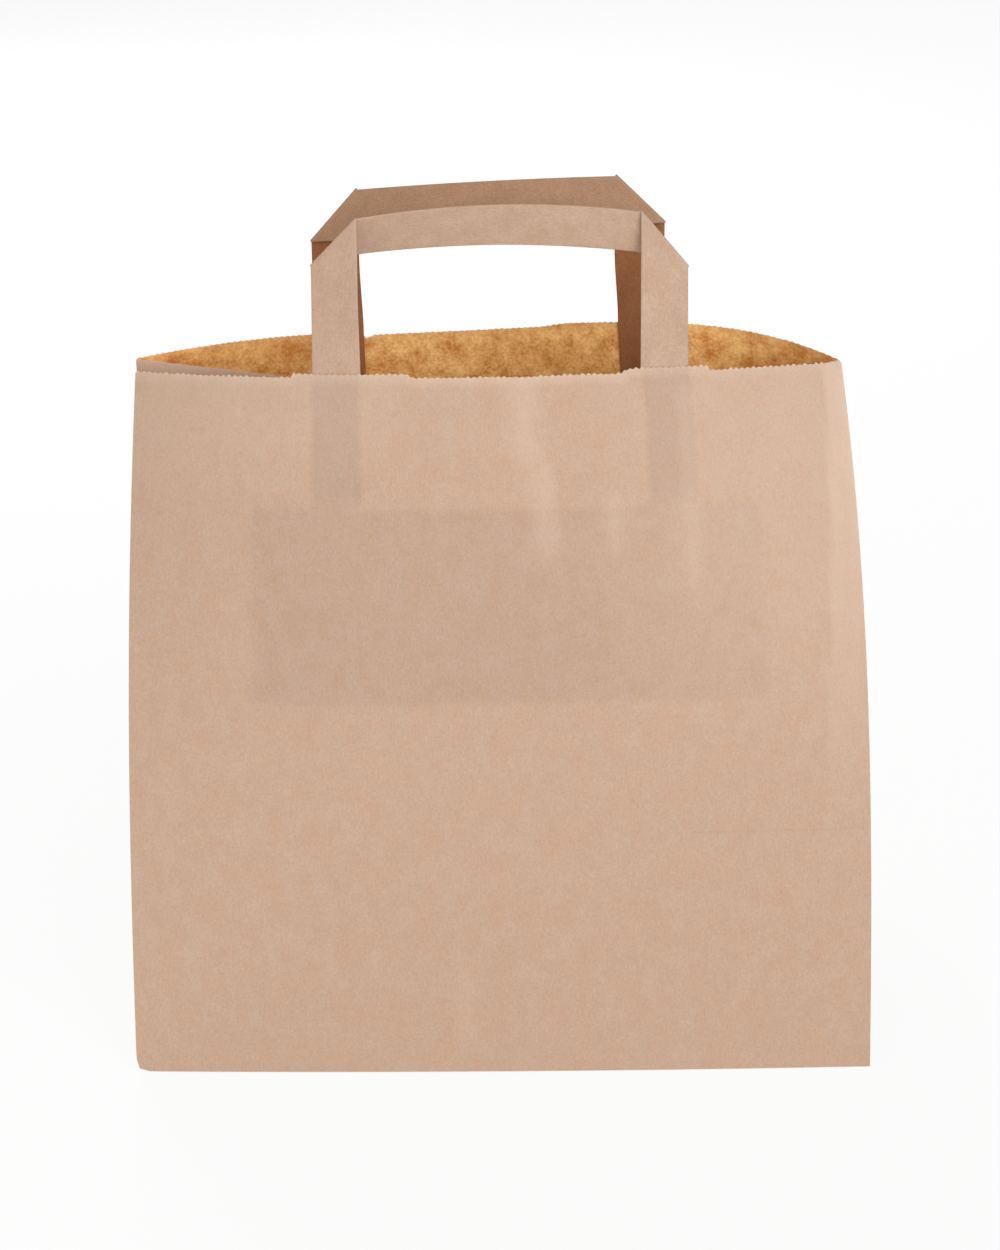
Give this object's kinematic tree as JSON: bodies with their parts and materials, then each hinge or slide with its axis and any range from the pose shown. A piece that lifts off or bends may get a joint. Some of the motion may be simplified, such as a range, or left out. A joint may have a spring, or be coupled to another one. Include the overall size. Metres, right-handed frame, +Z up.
{
  "type": "paper carrier bag",
  "caption": "Standing kraft paper carrier bag with folded side gussets, a block bottom, a saw-cut rim and flat folded paper handles glued inside under paper patches.",
  "frame": {"origin": "centre of the base, on the surface it stands on", "axes": "+Z up, +X to the right and +Y to the back as seen from the front panel"},
  "size_m": [0.26, 0.17, 0.3018],
  "materials": {
    "kraft_sheet": "matte",
    "kraft_strap": "matte",
    "kraft_patch": "matte"
  },
  "bodies": {
    "root": {"bag_body": "kraft_sheet", "front_handle": "kraft_strap", "rear_handle": "kraft_strap", "front_handle_patch": "kraft_patch", "rear_handle_patch": "kraft_patch"}
  },
  "joints": []
}
